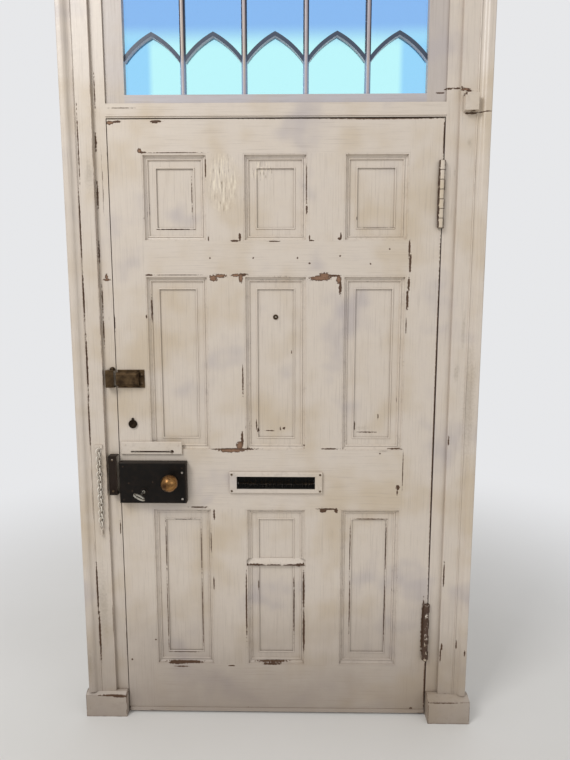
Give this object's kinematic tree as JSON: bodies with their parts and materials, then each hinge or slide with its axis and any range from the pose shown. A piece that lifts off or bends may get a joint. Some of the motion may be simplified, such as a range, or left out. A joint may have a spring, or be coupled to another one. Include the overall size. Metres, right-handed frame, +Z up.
{
  "type": "panelled front door with frame and fanlight",
  "caption": "Panelled timber front door in its rebated frame, with planted mouldings, a gothic fanlight, rim lock, night latch, chain, letter plate and hinges",
  "frame": {"origin": "on the floor at the middle of the doorway, in the plane of the closed leaf's room face", "axes": "+X to the right seen from the room, +Y outdoors, +Z up"},
  "size_m": [1.366, 0.2285, 2.6591],
  "materials": {
    "painted_wood": "many coats of cream gloss paint on softwood, chipped to brown at the arrises",
    "hinge_iron": "cast iron butts painted over and rusting through",
    "painted_iron": "iron painted over with the door",
    "painted_fittings": "metal fittings painted over with the door",
    "lock_iron": "old dark lacquered iron",
    "bronze": "dark brown bronze",
    "bolt_steel": "dull worn steel",
    "brass": "tarnished brown brass",
    "window_glass": "clear drawn glass",
    "bristle": "fine dark brush strip"
  },
  "bodies": {
    "frame": {"left_jamb": "painted_wood", "right_jamb": "painted_wood", "transom": "painted_wood", "frame_head": "painted_wood", "left_architrave": "painted_wood", "right_architrave": "painted_wood", "head_architrave": "painted_wood", "left_plinth_block": "painted_wood", "right_plinth_block": "painted_wood", "patch_block": "painted_wood", "sash_stiles": "painted_wood", "sash_rails": "painted_wood", "glazing_bars": "painted_wood", "arch_bars": "painted_wood", "lower_panes": "window_glass", "upper_panes": "window_glass", "rim_lock_keep": "lock_iron", "night_latch_keep": "bronze", "mortice_strike": "bolt_steel", "chain_staple": "painted_iron", "door_chain": "painted_iron", "chain_button": "painted_iron", "frame_hinge_plates": "hinge_iron", "hinge_pins": "hinge_iron", "frame_screws": "brass"},
    "knobs": {"knob_spindle": "bolt_steel", "door_knobs": "brass"},
    "rim_latch": {"rim_latch_bolt": "bolt_steel"},
    "rim_dead": {"rim_dead_bolt": "bolt_steel"},
    "key_turner": {"key": "bolt_steel"},
    "night_bolt": {"night_latch_bolt": "bolt_steel"},
    "mortice": {"mortice_bolt": "bolt_steel"},
    "cover": {"keyhole_cover": "brass"},
    "flap": {"letter_flap": "brass"},
    "leaf": {"bottom_rail": "painted_wood", "centre_panel_lower_board": "painted_wood", "centre_panel_upper_board": "painted_wood", "chain_slide": "painted_iron", "door_viewer": "brass", "draught_strip": "painted_wood", "frieze_rail": "painted_wood", "hanging_stile": "painted_wood", "keyhole_plate": "brass", "leaf_hinge_plates": "hinge_iron", "leaf_screws": "brass", "letter_brushes": "bristle", "letter_frame": "painted_fittings", "lock_rail": "painted_wood", "lock_stile": "painted_wood", "mortice_lock_case": "bolt_steel", "muntins": "painted_wood", "night_latch_case": "bronze", "night_latch_cylinder": "brass", "outdoor_mouldings": "painted_wood", "outdoor_plates": "brass", "outer_letter_plate": "brass", "panels": "painted_wood", "rim_lock_case": "lock_iron", "room_mouldings": "painted_wood", "top_rail": "painted_wood"}
  },
  "joints": [
    {"name": "door_swing", "type": "hinge", "parent": "frame", "child": "leaf", "pos_m": [0.5275, -0.0095, 0], "axis": [0, 0, 1], "range_deg": [0, 98]},
    {"name": "knob_turn", "type": "hinge", "parent": "leaf", "child": "knobs", "pos_m": [-0.351, 0, 0.8855], "axis": [0, -1, 0], "range_deg": [0, 45.77]},
    {"name": "rim_latch_slide", "type": "slide", "parent": "leaf", "child": "rim_latch", "axis": [-1, 0, 0], "range_m": [0, 0.014]},
    {"name": "key_turn", "type": "hinge", "parent": "leaf", "child": "key_turner", "pos_m": [-0.446, 0, 0.8445], "axis": [0, 1, 0], "range_deg": [0, 122]},
    {"name": "rim_dead_slide", "type": "slide", "parent": "leaf", "child": "rim_dead", "axis": [-1, 0, 0], "range_m": [0, 0.02]},
    {"name": "night_latch_slide", "type": "slide", "parent": "leaf", "child": "night_bolt", "axis": [-1, 0, 0], "range_m": [0, 0.016]},
    {"name": "mortice_slide", "type": "slide", "parent": "leaf", "child": "mortice", "axis": [-1, 0, 0], "range_m": [0, 0.014]},
    {"name": "keyhole_cover_swing", "type": "hinge", "parent": "leaf", "child": "cover", "pos_m": [-0.4845, -0.003, 1.088], "axis": [0, 1, 0], "range_deg": [-110, 110]},
    {"name": "letter_flap_swing", "type": "hinge", "parent": "leaf", "child": "flap", "pos_m": [0, 0.048, 0.8865], "axis": [-1, 0, 0], "range_deg": [0, 85], "stiffness_Nm_per_rad": 0.03}
  ],
  "couplings": [
    {"joint": "rim_latch_slide", "follows": "knob_turn", "m_per_rad": 0.017525},
    {"joint": "key_turn", "follows": "rim_dead_slide", "rad_per_m": 106.47}
  ]
}
